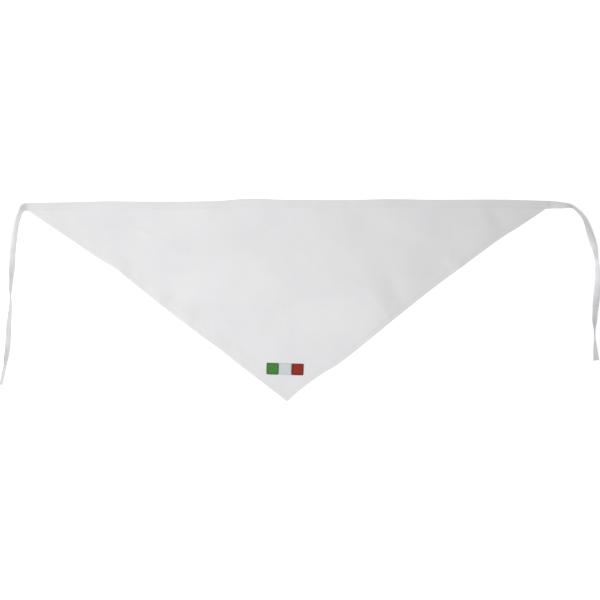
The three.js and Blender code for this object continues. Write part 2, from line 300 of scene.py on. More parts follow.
@dataclass(frozen=True)
class Relief:
    """Fine relief of the worn cloth: seam puckers, gathers at the tape, and faint creases."""

    pattern: Pattern
    seed: int = 41
    pucker_height: float = 0.0003
    pucker_reach: float = 0.017
    gather_height: float = 0.0003
    crease_height: float = 0.0003
    swell_height: float = 0.00035
    creases: int = 34

    def side_puckers(self, x: Array, y: Array) -> Array:
        """Ridges square to the hems, where the sewing draws the cloth up.

        Args:
            x: Places across the cloth.
            y: Places down the cloth.

        Returns:
            The height at each place.
        """
        cut = self.pattern
        draws = np.random.default_rng(self.seed)
        inward = (y - cut.side_line(x)) / cut.slant
        beyond = np.clip(inward - cut.hem_width, 0.0, None)
        height = np.zeros(inward.shape)
        for side in Side:
            place = 0.012
            while place < 0.465:
                rise = self.pucker_height * draws.uniform(0.2, 1.0) ** 1.5
                width = draws.uniform(0.003, 0.0075)
                reach = self.pucker_reach * draws.uniform(0.4, 1.5)
                lean = draws.uniform(-0.5, 0.5)
                along = side.value * x * cut.slant
                offset = (along - place - lean * beyond) / (width * (1 + beyond / 0.02))
                near = np.where(side.value * x >= 0, 1.0, 0.0) * smooth_step(along / 0.02)
                height += near * rise * np.exp(-offset**2 - (beyond / reach) ** 2)
                place += draws.uniform(0.006, 0.017)
        return height

    def neck_gathers(self, x: Array, y: Array) -> Array:
        """Soft ripples that the neck tape draws into the top of the cloth.

        Args:
            x: Places across the cloth.
            y: Places down the cloth.

        Returns:
            The height at each place.
        """
        cut = self.pattern
        draws = np.random.default_rng(self.seed + 1)
        below = np.clip(cut.neck_line(x) - cut.band_width - y, 0.0, None)
        height = np.zeros(below.shape)
        place = -cut.half_edge + 0.03
        while place < cut.half_edge - 0.03:
            rise = self.gather_height * draws.uniform(0.2, 1.0)
            width = draws.uniform(0.005, 0.012)
            reach = draws.uniform(0.012, 0.035)
            lean = draws.uniform(-0.4, 0.4)
            offset = (x - place - lean * below) / (width * (1 + below / 0.03))
            height += rise * np.exp(-offset**2 - (below / reach) ** 2)
            place += draws.uniform(0.012, 0.032)
        return height

    def field_creases(self, x: Array, y: Array) -> Array:
        """Faint pressed creases and small wrinkles in the open cloth.

        Args:
            x: Places across the cloth.
            y: Places down the cloth.

        Returns:
            The height at each place.
        """
        cut = self.pattern
        draws = np.random.default_rng(self.seed + 2)
        height = np.zeros(np.broadcast(x, y).shape)
        for _ in range(self.creases):
            middle = draws.uniform(-0.72, 0.72) * cut.half_edge
            room = 1 - abs(middle) / cut.half_edge
            level = -draws.uniform(0.08, 0.86) * cut.drop * room
            angle = math.radians(draws.uniform(-80, 80))
            length = draws.uniform(0.02, 0.06)
            breadth = draws.uniform(0.0035, 0.008)
            bend = draws.uniform(-2.5, 2.5)
            along = (x - middle) * math.cos(angle) + (y - level) * math.sin(angle)
            across = (y - level) * math.cos(angle) - (x - middle) * math.sin(angle)
            across = across - bend * along**2
            rise = self.crease_height * draws.uniform(0.25, 1.0)
            height += rise * np.exp(-((along / length) ** 2) - (across / breadth) ** 2)
        pressed = np.exp(-(((x - 0.001) / 0.002) ** 2)) * swell((y + 0.15) / 0.07)
        height += 0.2 * self.crease_height * pressed
        return height

    def broad_swells(self, x: Array, y: Array) -> Array:
        """Long, low waves of cloth that isn't pressed quite flat."""
        first = 1 + np.sin(x * 41.0 + y * 23.0 + 0.7)
        second = 1 + np.sin(x * 19.0 - y * 47.0 + 2.1)
        third = 1 + np.sin(x * 73.0 + y * 61.0 + 4.0)
        return self.swell_height * (0.5 * first + 0.35 * second + 0.15 * third)

    def height(self, x: Array, y: Array) -> Array:
        """Height of all the fine relief, never below nothing.

        Args:
            x: Places across the cloth.
            y: Places down the cloth.

        Returns:
            The height at each place.
        """
        total = self.side_puckers(x, y) + self.neck_gathers(x, y)
        total = total + self.field_creases(x, y) + self.broad_swells(x, y)
        inward = (self.pattern.half_edge - np.abs(x)) / 0.03
        return total * (0.25 + 0.75 * smooth_step(inward))


@dataclass(frozen=True)
class Layout:
    """Place of the pattern in the frame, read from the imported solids."""

    shift_x: float
    shift_y: float

    @classmethod
    def from_frame(cls, pattern: Pattern) -> "Layout":
        """Find the pattern's place from the boxes of the neck tape and of the panel."""
        band_low, band_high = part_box("neck_band")
        panel_low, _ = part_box("panel")
        return cls((band_low.x + band_high.x) / 2, panel_low.y + pattern.drop)

    def place(self, points: Array) -> Array:
        """Move points of the pattern to their place in the frame."""
        return points + np.array([self.shift_x, self.shift_y, 0.0])


class Wiring:
    """Builder of one material's nodes."""

    def __init__(self, name: str) -> None:
        """Start a material with a surface shader and its output."""
        self.material = bpy.data.materials.new(name)
        self.material.use_nodes = True
        self.nodes = self.material.node_tree.nodes
        self.links = self.material.node_tree.links
        self.shader = next(node for node in self.nodes if node.type == "BSDF_PRINCIPLED")

    def add(self, kind: str, inputs: dict[str, object] | None = None, **settings: object) -> bpy.types.Node:
        """Add a node.

        Args:
            kind: The node's type.
            inputs: Values of its sockets, by name.
            **settings: Values of its own properties.

        Returns:
            The new node.
        """
        node = self.nodes.new(kind)
        for name, value in settings.items():
            setattr(node, name, value)
        for name, value in (inputs or {}).items():
            node.inputs[name].default_value = value
        return node

    def join(self, source: bpy.types.NodeSocket, target: bpy.types.NodeSocket) -> None:
        """Link two sockets."""
        self.links.new(source, target)

    def blend(self, first: bpy.types.NodeSocket, second: bpy.types.NodeSocket, share: float) -> bpy.types.NodeSocket:
        """Mix two values.

        Args:
            first: The first value.
            second: The second value.
            share: How much of the second goes in.

        Returns:
            The mixed value.
        """
        part = self.add("ShaderNodeMath", operation="MULTIPLY")
        part.inputs[1].default_value = share
        self.join(second, part.inputs[0])
        total = self.add("ShaderNodeMath", operation="MULTIPLY_ADD")
        total.inputs[1].default_value = 1 - share
        self.join(first, total.inputs[0])
        self.join(part.outputs[0], total.inputs[2])
        return total.outputs[0]

    def ramp(self, value: bpy.types.NodeSocket, stops: list[tuple[float, tuple[float, float, float]]]) -> bpy.types.NodeSocket:
        """Turn a value into a colour.

        Args:
            value: The value from 0 to 1.
            stops: Places and colours of the ramp, in order.

        Returns:
            The colour.
        """
        node = self.add("ShaderNodeValToRGB")
        elements = node.color_ramp.elements
        while len(elements) < len(stops):
            elements.new(0.5)
        for element, (at, colour) in zip(elements, stops):
            element.position = at
            element.color = (*colour, 1.0)
        self.join(value, node.inputs[0])
        return node.outputs[0]

    def relief(self, heights: list[tuple[bpy.types.NodeSocket, float, float]]) -> None:
        """Stack bumps on the surface.

        Args:
            heights: For each bump its height, its strength and its depth in metres.
        """
        normal = None
        for height, strength, depth in heights:
            bump = self.add("ShaderNodeBump", {"Strength": strength, "Distance": depth})
            self.join(height, bump.inputs["Height"])
            if normal is not None:
                self.join(normal, bump.inputs["Normal"])
            normal = bump.outputs[0]
        self.join(normal, self.shader.inputs["Normal"])


class Weave(Enum):
    """How the threads of a finish lie."""

    TWILL = "twill"
    HERRINGBONE = "herringbone"


@dataclass(frozen=True)
class ClothFinish:
    """Matt cotton, with the weave, slubs and faint mottling of washed cloth."""

    name: str
    light: tuple[float, float, float]
    dark: tuple[float, float, float]
    weave: Weave
    rib_pitch: float = 0.0009
    thread_pitch: float = 0.0005
    weave_depth: float = 0.00005
    slub_scale: float = 420.0
    mottle_scale: float = 14.0
    sheen: float = 0.12
    # Colour of the painted shade in the tie tape's creases and near its root; None leaves it out.
    painted_crease_shade: tuple[float, float, float] | None = None

    def material(self) -> bpy.types.Material:
        """Build the cloth's material.

        Returns:
            The new material.
        """
        wiring = Wiring(self.name)
        if self.weave is Weave.TWILL:
            where = wiring.add("ShaderNodeTexCoord").outputs["Object"]
            slope = math.radians(57)
        else:
            where = wiring.add("ShaderNodeUVMap", uv_map="weave").outputs[0]
            slope = math.radians(35)
        ribs = self.bands(wiring, where, slope, self.rib_pitch)
        threads = self.bands(wiring, where, slope - math.radians(90), self.thread_pitch)
        weave = wiring.blend(ribs, threads, 0.35)
        slubs = wiring.add("ShaderNodeTexNoise", {"Scale": self.slub_scale, "Detail": 3.0, "Roughness": 0.6})
        mottle = wiring.add("ShaderNodeTexNoise", {"Scale": self.mottle_scale, "Detail": 4.0, "Roughness": 0.55})
        creases = wiring.add("ShaderNodeTexNoise", {"Scale": 70.0, "Detail": 5.0, "Roughness": 0.6})
        for texture in (slubs, mottle, creases):
            wiring.join(where, texture.inputs["Vector"])
        tone = wiring.blend(mottle.outputs["Fac"], slubs.outputs["Fac"], 0.3)
        tone = wiring.blend(tone, weave, 0.15)
        stops = [(0.3, self.dark), (0.7, self.light)]
        # Painted shade: where the point attribute is high, the tone is pulled down towards the painted crease shade
        # colour.
        if self.painted_crease_shade is not None:
            pinch_and_painted_shade = wiring.add("ShaderNodeAttribute", attribute_name="pinch_and_painted_shade")
            plain = wiring.add("ShaderNodeMapRange", {"To Min": 1.0, "To Max": 0.1})
            wiring.join(pinch_and_painted_shade.outputs["Fac"], plain.inputs["Value"])
            shaded = wiring.add("ShaderNodeMath", operation="MULTIPLY")
            wiring.join(tone, shaded.inputs[0])
            wiring.join(plain.outputs[0], shaded.inputs[1])
            tone = shaded.outputs[0]
            stops.insert(0, (0.05, self.painted_crease_shade))
        colour = wiring.ramp(tone, stops)
        wiring.join(colour, wiring.shader.inputs["Base Color"])
        rough = wiring.add("ShaderNodeMapRange", {"To Min": 0.82, "To Max": 0.97})
        wiring.join(tone, rough.inputs["Value"])
        wiring.join(rough.outputs[0], wiring.shader.inputs["Roughness"])
        wiring.shader.inputs["Sheen Weight"].default_value = self.sheen
        wiring.shader.inputs["Sheen Roughness"].default_value = 0.6
        wiring.shader.inputs["Specular IOR Level"].default_value = 0.25
        wiring.relief([
            (creases.outputs["Fac"], 0.35, 0.0006),
            (slubs.outputs["Fac"], 0.4, 0.00006),
            (weave, 0.6, self.weave_depth),
        ])
        return wiring.material

    @staticmethod
    def bands(wiring: Wiring, where: bpy.types.NodeSocket, slope: float, pitch: float) -> bpy.types.NodeSocket:
        """Parallel threads.

        Args:
            wiring: The material in the making.
            where: The place on the cloth, in metres.
            slope: The angle across the threads.
            pitch: The distance from thread to thread.

        Returns:
            The height of the threads, from 0 to 1.
        """
        turn = wiring.add("ShaderNodeMapping", {"Rotation": (0.0, 0.0, slope)})
        wiring.join(where, turn.inputs["Vector"])
        wave = wiring.add(
            "ShaderNodeTexWave",
            {"Scale": math.pi / 10 / pitch, "Distortion": 0.6, "Detail": 1.0, "Detail Scale": 0.4},
            wave_type="BANDS",
            bands_direction="X",
        )
        wiring.join(turn.outputs[0], wave.inputs["Vector"])
        return wave.outputs["Fac"]


@dataclass(frozen=True)
class SatinFinish:
    """Close satin stitching in one colour, with painted shade that darkens it towards its edges, where it turns
    down.
    """

    name: str
    centre: tuple[float, float, float]
    # Colour of the painted shade at the block's rim.
    edge: tuple[float, float, float]
    rib_pitch: float = 0.00055
    rib_depth: float = 0.00012
    rim_steepness: float = 9.0

    def material(self) -> bpy.types.Material:
        """Build the block's material from its own map, whose unit is a block's side.

        Returns:
            The new material.
        """
        wiring = Wiring(self.name)
        where = wiring.add("ShaderNodeUVMap", uv_map="weave").outputs[0]
        parts = wiring.add("ShaderNodeSeparateXYZ")
        wiring.join(where, parts.inputs[0])
        rim = wiring.add("ShaderNodeMath", operation="ADD")
        for axis in range(2):
            centred = wiring.add("ShaderNodeMath", operation="MULTIPLY_ADD")
            centred.inputs[1].default_value = 2.0
            centred.inputs[2].default_value = -1.0
            wiring.join(parts.outputs[axis], centred.inputs[0])
            size = wiring.add("ShaderNodeMath", operation="ABSOLUTE")
            wiring.join(centred.outputs[0], size.inputs[0])
            steep = wiring.add("ShaderNodeMath", operation="POWER")
            steep.inputs[1].default_value = self.rim_steepness
            wiring.join(size.outputs[0], steep.inputs[0])
            wiring.join(steep.outputs[0], rim.inputs[axis])
        noise = wiring.add("ShaderNodeTexNoise", {"Scale": 34.0, "Detail": 3.0, "Roughness": 0.6})
        wiring.join(where, noise.inputs["Vector"])
        patches = wiring.add("ShaderNodeTexNoise", {"Scale": 2.2, "Detail": 2.0, "Roughness": 0.5})
        wiring.join(where, patches.inputs["Vector"])
        threads = wiring.add(
            "ShaderNodeTexWave",
            {"Scale": math.pi / 10 / (self.rib_pitch / 0.018), "Distortion": 0.8, "Detail": 1.0},
            wave_type="BANDS",
            bands_direction="X",
        )
        wiring.join(where, threads.inputs["Vector"])
        # Painted shade: the colour darkens from the centre colour to the edge colour towards the block's rim.
        span = wiring.add("ShaderNodeMapRange", {"From Max": 0.9})
        wiring.join(rim.outputs[0], span.inputs["Value"])
        tone = wiring.blend(span.outputs[0], patches.outputs["Fac"], 0.3)
        tone = wiring.blend(tone, noise.outputs["Fac"], 0.12)
        tone = wiring.blend(tone, threads.outputs["Fac"], 0.1)
        colour = wiring.ramp(tone, [(0.12, self.centre), (0.85, self.edge)])
        wiring.join(colour, wiring.shader.inputs["Base Color"])
        rough = wiring.add("ShaderNodeMapRange", {"To Min": 0.5, "To Max": 0.75})
        wiring.join(noise.outputs["Fac"], rough.inputs["Value"])
        wiring.join(rough.outputs[0], wiring.shader.inputs["Roughness"])
        wiring.shader.inputs["Specular IOR Level"].default_value = 0.2
        wiring.relief([
            (noise.outputs["Fac"], 0.3, 0.0002),
            (threads.outputs["Fac"], 0.7, self.rib_depth),
        ])
        return wiring.material


@dataclass(frozen=True)
class ThreadFinish:
    """Twisted white sewing thread."""

    name: str
    colour: tuple[float, float, float]
    shade: tuple[float, float, float]

    def material(self) -> bpy.types.Material:
        """Build the thread's material.

        Returns:
            The new material.
        """
        wiring = Wiring(self.name)
        where = wiring.add("ShaderNodeTexCoord").outputs["Object"]
        twist = wiring.add("ShaderNodeTexNoise", {"Scale": 1500.0, "Detail": 2.0, "Roughness": 0.6})
        wiring.join(where, twist.inputs["Vector"])
        colour = wiring.ramp(twist.outputs["Fac"], [(0.3, self.shade), (0.7, self.colour)])
        wiring.join(colour, wiring.shader.inputs["Base Color"])
        wiring.shader.inputs["Roughness"].default_value = 0.7
        wiring.shader.inputs["Sheen Weight"].default_value = 0.15
        wiring.relief([(twist.outputs["Fac"], 0.5, 0.00008)])
        return wiring.material


@dataclass(frozen=True)
class FloorFinish:
    """Plain white studio floor that glows faintly, as a light table does."""

    name: str = "white_floor"
    colour: tuple[float, float, float] = (0.9, 0.9, 0.9)
    glow: float = 0.36

    def material(self) -> bpy.types.Material:
        """Build the floor's material.

        Returns:
            The new material.
        """
        wiring = Wiring(self.name)
        wiring.shader.inputs["Base Color"].default_value = (*self.colour, 1.0)
        wiring.shader.inputs["Roughness"].default_value = 0.9
        wiring.shader.inputs["Specular IOR Level"].default_value = 0.1
        wiring.shader.inputs["Emission Color"].default_value = (1.0, 1.0, 1.0, 1.0)
        wiring.shader.inputs["Emission Strength"].default_value = self.glow
        return wiring.material


def shell_faces(columns: int, rows: int) -> Array:
    """Faces of a closed wall between two grids of points of the same size.

    Args:
        columns: Points along the first way of each grid.
        rows: Points along the second way.

    Returns:
        Four point numbers for each face, the far grid's points numbered after the near one's.
    """
    near = np.arange(columns * rows).reshape(columns, rows)
    far = near + columns * rows
    faces = [
        np.stack([near[:-1, :-1], near[1:, :-1], near[1:, 1:], near[:-1, 1:]], axis=-1),
        np.stack([far[:-1, :-1], far[:-1, 1:], far[1:, 1:], far[1:, :-1]], axis=-1),
        np.stack([near[1:, 0], near[:-1, 0], far[:-1, 0], far[1:, 0]], axis=-1),
        np.stack([near[:-1, -1], near[1:, -1], far[1:, -1], far[:-1, -1]], axis=-1),
        np.stack([near[0, :-1], near[0, 1:], far[0, 1:], far[0, :-1]], axis=-1),
        np.stack([near[-1, 1:], near[-1, :-1], far[-1, :-1], far[-1, 1:]], axis=-1),
    ]
    return np.concatenate([part.reshape(-1, 4) for part in faces])


def shell_object(name: str, outer: Array, inner: Array, chart: Array | None = None) -> bpy.types.Object:
    """Closed wall between an outer and an inner grid of points.

    Args:
        name: Name of the new object.
        outer: Points of the outer face, by column and row.
        inner: Points of the inner face, by column and row.
        chart: Place of each point on the flat cloth, by column and row.

    Returns:
        The new object, with its faces pointing outwards.
    """
    columns, rows = outer.shape[:2]
    points = np.concatenate([outer.reshape(-1, 3), inner.reshape(-1, 3)])
    faces = shell_faces(columns, rows)
    a, b, c, d = (points[faces[:, corner]] for corner in range(4))
    volume = np.einsum("ij,ij->", a, np.cross(b, c)) + np.einsum("ij,ij->", a, np.cross(c, d))
    if volume < 0:
        faces = faces[:, ::-1]
    mesh = bpy.data.meshes.new(name)
    mesh.from_pydata(points.tolist(), [], faces.tolist())
    mesh.shade_smooth()
    if chart is not None:
        flat = np.concatenate([chart.reshape(-1, 2), chart.reshape(-1, 2)])
        corners = np.empty(len(mesh.loops), dtype=np.int32)
        mesh.loops.foreach_get("vertex_index", corners)
        layer = mesh.uv_layers.new(name="weave")
        layer.data.foreach_set("uv", flat[corners].ravel().astype(np.float32))
    mesh.validate()
    mesh.update()
    mesh.set_sharp_from_angle(angle=math.radians(50))
    piece = bpy.data.objects.new(name, mesh)
    bpy.context.scene.collection.objects.link(piece)
    return piece


def dress(piece: bpy.types.Object, material: bpy.types.Material) -> None:
    """Give a piece its material and its body.

    Args:
        piece: The piece.
        material: Its finish.
    """
    piece.data.materials.clear()
    piece.data.materials.append(material)
    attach(piece, "root")


@dataclass
class Panel:
    """The triangle of cloth, whose short sides are turned under in one folded edge."""

    pattern: Pattern
    relief: Relief
    layout: Layout
    columns: int = 401
    band_rows: int = 5
    ramp_rows: int = 6
    field_rows: int = 58
    hem_rows: int = 11
    edge_rows: int = 8
    stitch_inset: float = 0.0065
    ditch_depth: float = 0.00007
    ditch_width: float = 0.001

    @property
    def edge_radius(self) -> float:
        """Radius of the folded edge, over the hem."""
        return (self.pattern.layer_lift + self.pattern.cloth_wall) / 2

    def zones(self, x: Array) -> list[Array]:
        """Y of the lines that divide each column, from the neck edge to the folded edge.

        Args:
            x: Places of the columns.

        Returns:
            The neck edge, the tape's edge, the field's two edges, the hem's inner edge and
            the start of the folded edge.
        """
        cut = self.pattern
        bottom = cut.side_line(x) + self.edge_radius * cut.slant
        hem = np.maximum(cut.hem_line(x), bottom + 0.0003)
        band = np.maximum(cut.neck_line(x) - cut.band_width, hem + 0.0009)
        room = band - hem
        field_low = hem + np.minimum(cut.hem_ease * cut.slant, room * 0.35)
        field_high = band - np.minimum(cut.band_ease, room * 0.35)
        return [cut.neck_line(x) - cut.band_reach, band, field_high, field_low, hem, bottom]

    def field_lift(self, x: Array) -> Array:
        """Height of the open cloth, which stays up on its borders in the narrow corners."""
        cut = self.pattern
        room = cut.neck_line(x) - cut.side_line(x) - cut.border_depth
        return cut.layer_lift * (1 - smooth_step(room / 0.03))

    def surface(self, x: Array, y: Array) -> Array:
        """Height of the front of the cloth at points in the hems and in the field.

        Args:
            x: Places across the cloth.
            y: Places down the cloth.

        Returns:
            The height of the front face at each place.
        """
        cut = self.pattern
        _, band, field_high, field_low, hem, _ = self.zones(x)
        low = self.field_lift(x)
        up_hem = 1 - smooth_step((y - hem) / (field_low - hem))
        up_band = smooth_step((y - field_high) / (band - field_high))
        lift = low + (cut.layer_lift - low) * np.maximum(up_hem, up_band)
        inward = (y - cut.side_line(x)) / cut.slant - self.stitch_inset
        ditch = self.ditch_depth * np.exp(-((inward / self.ditch_width) ** 2))
        return lift + cut.folds(x, y) + self.relief.height(x, y) + cut.cloth_wall - ditch

    def grids(self) -> tuple[Array, Array]:
        """Points of the front and the back of the cloth.

        Returns:
            The outer and the inner grid, by column and row.
        """
        cut = self.pattern
        x = np.linspace(-cut.half_edge, cut.half_edge, self.columns)
        lines = self.zones(x)
        counts = [self.band_rows, self.ramp_rows, self.field_rows, self.ramp_rows, self.hem_rows]
        rows = []
        for index, count in enumerate(counts):
            share = np.arange(count) / count
            if index == 2:
                share = share * (1.35 - 0.35 * share)
            rows.append(lines[index][:, None] + (lines[index + 1] - lines[index])[:, None] * share)
        y = np.concatenate(rows, axis=1)
        across = np.repeat(x[:, None], y.shape[1], axis=1)
        top = self.surface(across, y)
        outer = np.stack([across, y, top], axis=-1)
        inner = outer - np.array([0.0, 0.0, cut.cloth_wall])
        edge_outer, edge_inner = self.folded_edge(x)
        return np.concatenate([outer, edge_outer], axis=1), np.concatenate([inner, edge_inner], axis=1)

    def folded_edge(self, x: Array) -> tuple[Array, Array]:
        """Points of the edge where the cloth turns under.

        Args:
            x: Places of the columns.

        Returns:
            The outer and the inner points, by column and row.
        """
        cut = self.pattern
        turn = np.linspace(0.0, math.pi, self.edge_rows)[None, :]
        radius = self.edge_radius
        small = radius - cut.cloth_wall
        side = cut.side_line(x)[:, None]
        base = side + radius * cut.slant
        across = np.repeat(x[:, None], self.edge_rows, axis=1)
        base = np.repeat(base, self.edge_rows, axis=1)
        ground = cut.folds(across, base) + self.relief.height(across, base)
        outer_y = side + radius * (1 - np.sin(turn)) * cut.slant
        inner_y = side + (radius - small * np.sin(turn)) * cut.slant
        outer = np.stack([across, outer_y, ground + radius * (1 + np.cos(turn))], axis=-1)
        inner = np.stack([across, inner_y, ground + radius + small * np.cos(turn)], axis=-1)
        return outer, inner

    def build(self, material: bpy.types.Material) -> bpy.types.Object:
        """Make the cloth.

        Args:
            material: The cloth's finish.

        Returns:
            The finished piece.
        """
        outer, inner = self.grids()
        piece = shell_object("twill_panel", self.layout.place(outer), self.layout.place(inner))
        dress(piece, material)
        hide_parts("panel")
        return piece

    def hem_seam(self, side: Side) -> Array:
        """Line of the hem's stitching along one side.

        Args:
            side: The side.

        Returns:
            Points along the seam, on the front of the cloth.
        """
        cut = self.pattern
        x = side.value * np.linspace(0.0006, cut.half_edge - 0.0085, 420)
        y = cut.side_line(x) + self.stitch_inset * cut.slant
        is_open = y < cut.neck_line(x) - cut.band_width - 0.0007
        x, y = x[is_open], y[is_open]
        return np.stack([x, y, self.surface(x, y) + 0.00006], axis=-1)


@dataclass
class Hem:
    """The strip of cloth turned under along one short side."""

    side: Side
    pattern: Pattern
    relief: Relief
    layout: Layout
    inset: float = 0.0006
    columns: int = 201
    rows: int = 7

    def build(self, material: bpy.types.Material) -> bpy.types.Object:
        """Make the strip.

        Args:
            material: The cloth's finish.

        Returns:
            The finished piece.
        """
        cut = self.pattern
        sign = self.side.value
        short = cut.band_width + cut.seam_gap + cut.hem_tip - cut.corner_height
        start = cut.half_edge - max(short, 0.0) / cut.side_slope - 0.002
        x = np.linspace(sign * start, sign * cut.seam_gap / 2, self.columns)
        low = cut.side_line(x) + self.inset * cut.slant
        high = np.maximum(cut.hem_line(x), low + 0.0002)
        share = np.linspace(0.0, 1.0, self.rows)
        y = high[:, None] + (low - high)[:, None] * share
        across = np.repeat(x[:, None], self.rows, axis=1)
        ground = cut.folds(across, y) + self.relief.height(across, y)
        thin = cut.hem_wall * (1 - 0.35 * (1 - smooth_step(share / 0.2)))
        under = np.stack([across, y, ground], axis=-1)
        over = np.stack([across, y, ground + thin], axis=-1)
        piece = shell_object(f"hem_{self.side.word}_turning", self.layout.place(over), self.layout.place(under))
        dress(piece, material)
        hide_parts(f"hem_{self.side.word}")
        return piece


@dataclass
class NeckTape:
    """Cotton tape folded over the neck edge, sewn through along its lower edge."""

    pattern: Pattern
    relief: Relief
    layout: Layout
    columns: int = 401
    leg_points: int = 17
    turn_points: int = 9
    front_wall: float = 0.0004
    lip_wall: float = 0.00012
    lip_run: float = 0.0024
    overrun: float = 0.0006
    stitch_inset: float = 0.0018
    ditch_depth: float = 0.00004

    def section(self) -> tuple[Array, Array]:
        """Section of the tape, from its back leg round the fold to its front leg.

        Returns:
            Outer and inner points, each as y from the fold and height.
        """
        cut = self.pattern
        radius = cut.stack / 2
        turn = np.linspace(-math.pi / 2, math.pi / 2, self.turn_points)
        leg = np.linspace(-cut.band_width, -radius, self.leg_points, endpoint=False)
        back_out = np.stack([leg, 0 * leg], axis=-1)
        back_in = np.stack([leg, 0 * leg + 0.9 * cut.band_wall], axis=-1)
        bend_out = np.stack([radius * np.cos(turn) - radius, radius * (1 + np.sin(turn))], axis=-1)
        small = radius - 0.95 * cut.band_wall
        bend_in = np.stack([small * np.cos(turn) - radius, radius + small * np.sin(turn)], axis=-1)
        front = leg[::-1]
        share = (front + cut.band_width) / (cut.band_width - radius)
        crown = 0.00012 * np.sin(np.clip(share, 0, 1) * math.pi)
        seam = (front + cut.band_width - self.stitch_inset) / 0.0009
        ditch = self.ditch_depth * np.exp(-(seam**2))
        floor = cut.layer_lift + cut.cloth_wall + cut.layer_gap
        rise = cut.stack - floor - self.front_wall
        under = floor + rise * smooth_step(share)
        front_in = np.stack([front, under], axis=-1)
        lip = smooth_step((front + cut.band_width) / self.lip_run)
        wall = self.lip_wall + (self.front_wall - self.lip_wall) * lip
        front_out = np.stack([front, under + wall + crown - ditch], axis=-1)
        outer = np.concatenate([back_out, bend_out, front_out])
        inner = np.concatenate([back_in, bend_in, front_in])
        return outer, inner

    def carry(self, x: Array, section: Array) -> Array:
        """Carry a section along the neck edge.

        Args:
            x: Places of the columns.
            section: Points of the section, as y from the fold and height.

        Returns:
            Points by column and by point of the section.
        """
        cut = self.pattern
        across = np.repeat(x[:, None], len(section), axis=1)
        neck = cut.neck_line(x)[:, None]
        y = neck + section[None, :, 0]
        settled = neck + np.minimum(section[None, :, 0], -cut.band_reach)
        ground = cut.folds(across, settled) + self.relief.height(across, settled)
        return np.stack([across, y, ground + section[None, :, 1]], axis=-1)

    def build(self, material: bpy.types.Material) -> bpy.types.Object:
        """Make the tape.

        Args:
            material: The tape's finish.

        Returns:
            The finished piece.
        """
        cut = self.pattern
        reach = cut.half_edge + self.overrun
        x = np.linspace(-reach, reach, self.columns)
        outer, inner = self.section()
        along = np.repeat(x[:, None], len(outer), axis=1)
        steps = np.hypot(*np.diff(outer, axis=0).T)
        girth = np.concatenate([[0.0], np.cumsum(steps)])
        chart = np.stack([np.repeat(girth[None, :], len(x), axis=0), along], axis=-1)
        piece = shell_object(
            "neck_tape",
            self.layout.place(self.carry(x, outer)),
            self.layout.place(self.carry(x, inner)),
            chart,
        )
        dress(piece, material)
        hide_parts("neck_band")
        return piece

    def seam(self) -> Array:
        """Line of the stitching through the tape's front leg.

        Returns:
            Points along the seam, on the front of the tape.
        """
        cut = self.pattern
        outer, _ = self.section()
        front = outer[-self.leg_points:]
        order = np.argsort(front[:, 0])
        level = np.interp(-cut.band_width + self.stitch_inset, front[order, 0], front[order, 1])
        x = np.linspace(-cut.half_edge + 0.002, cut.half_edge - 0.002, 700)
        spot = np.array([[-cut.band_width + self.stitch_inset, level + 0.00008]])
        return self.carry(x, spot)[:, 0, :]


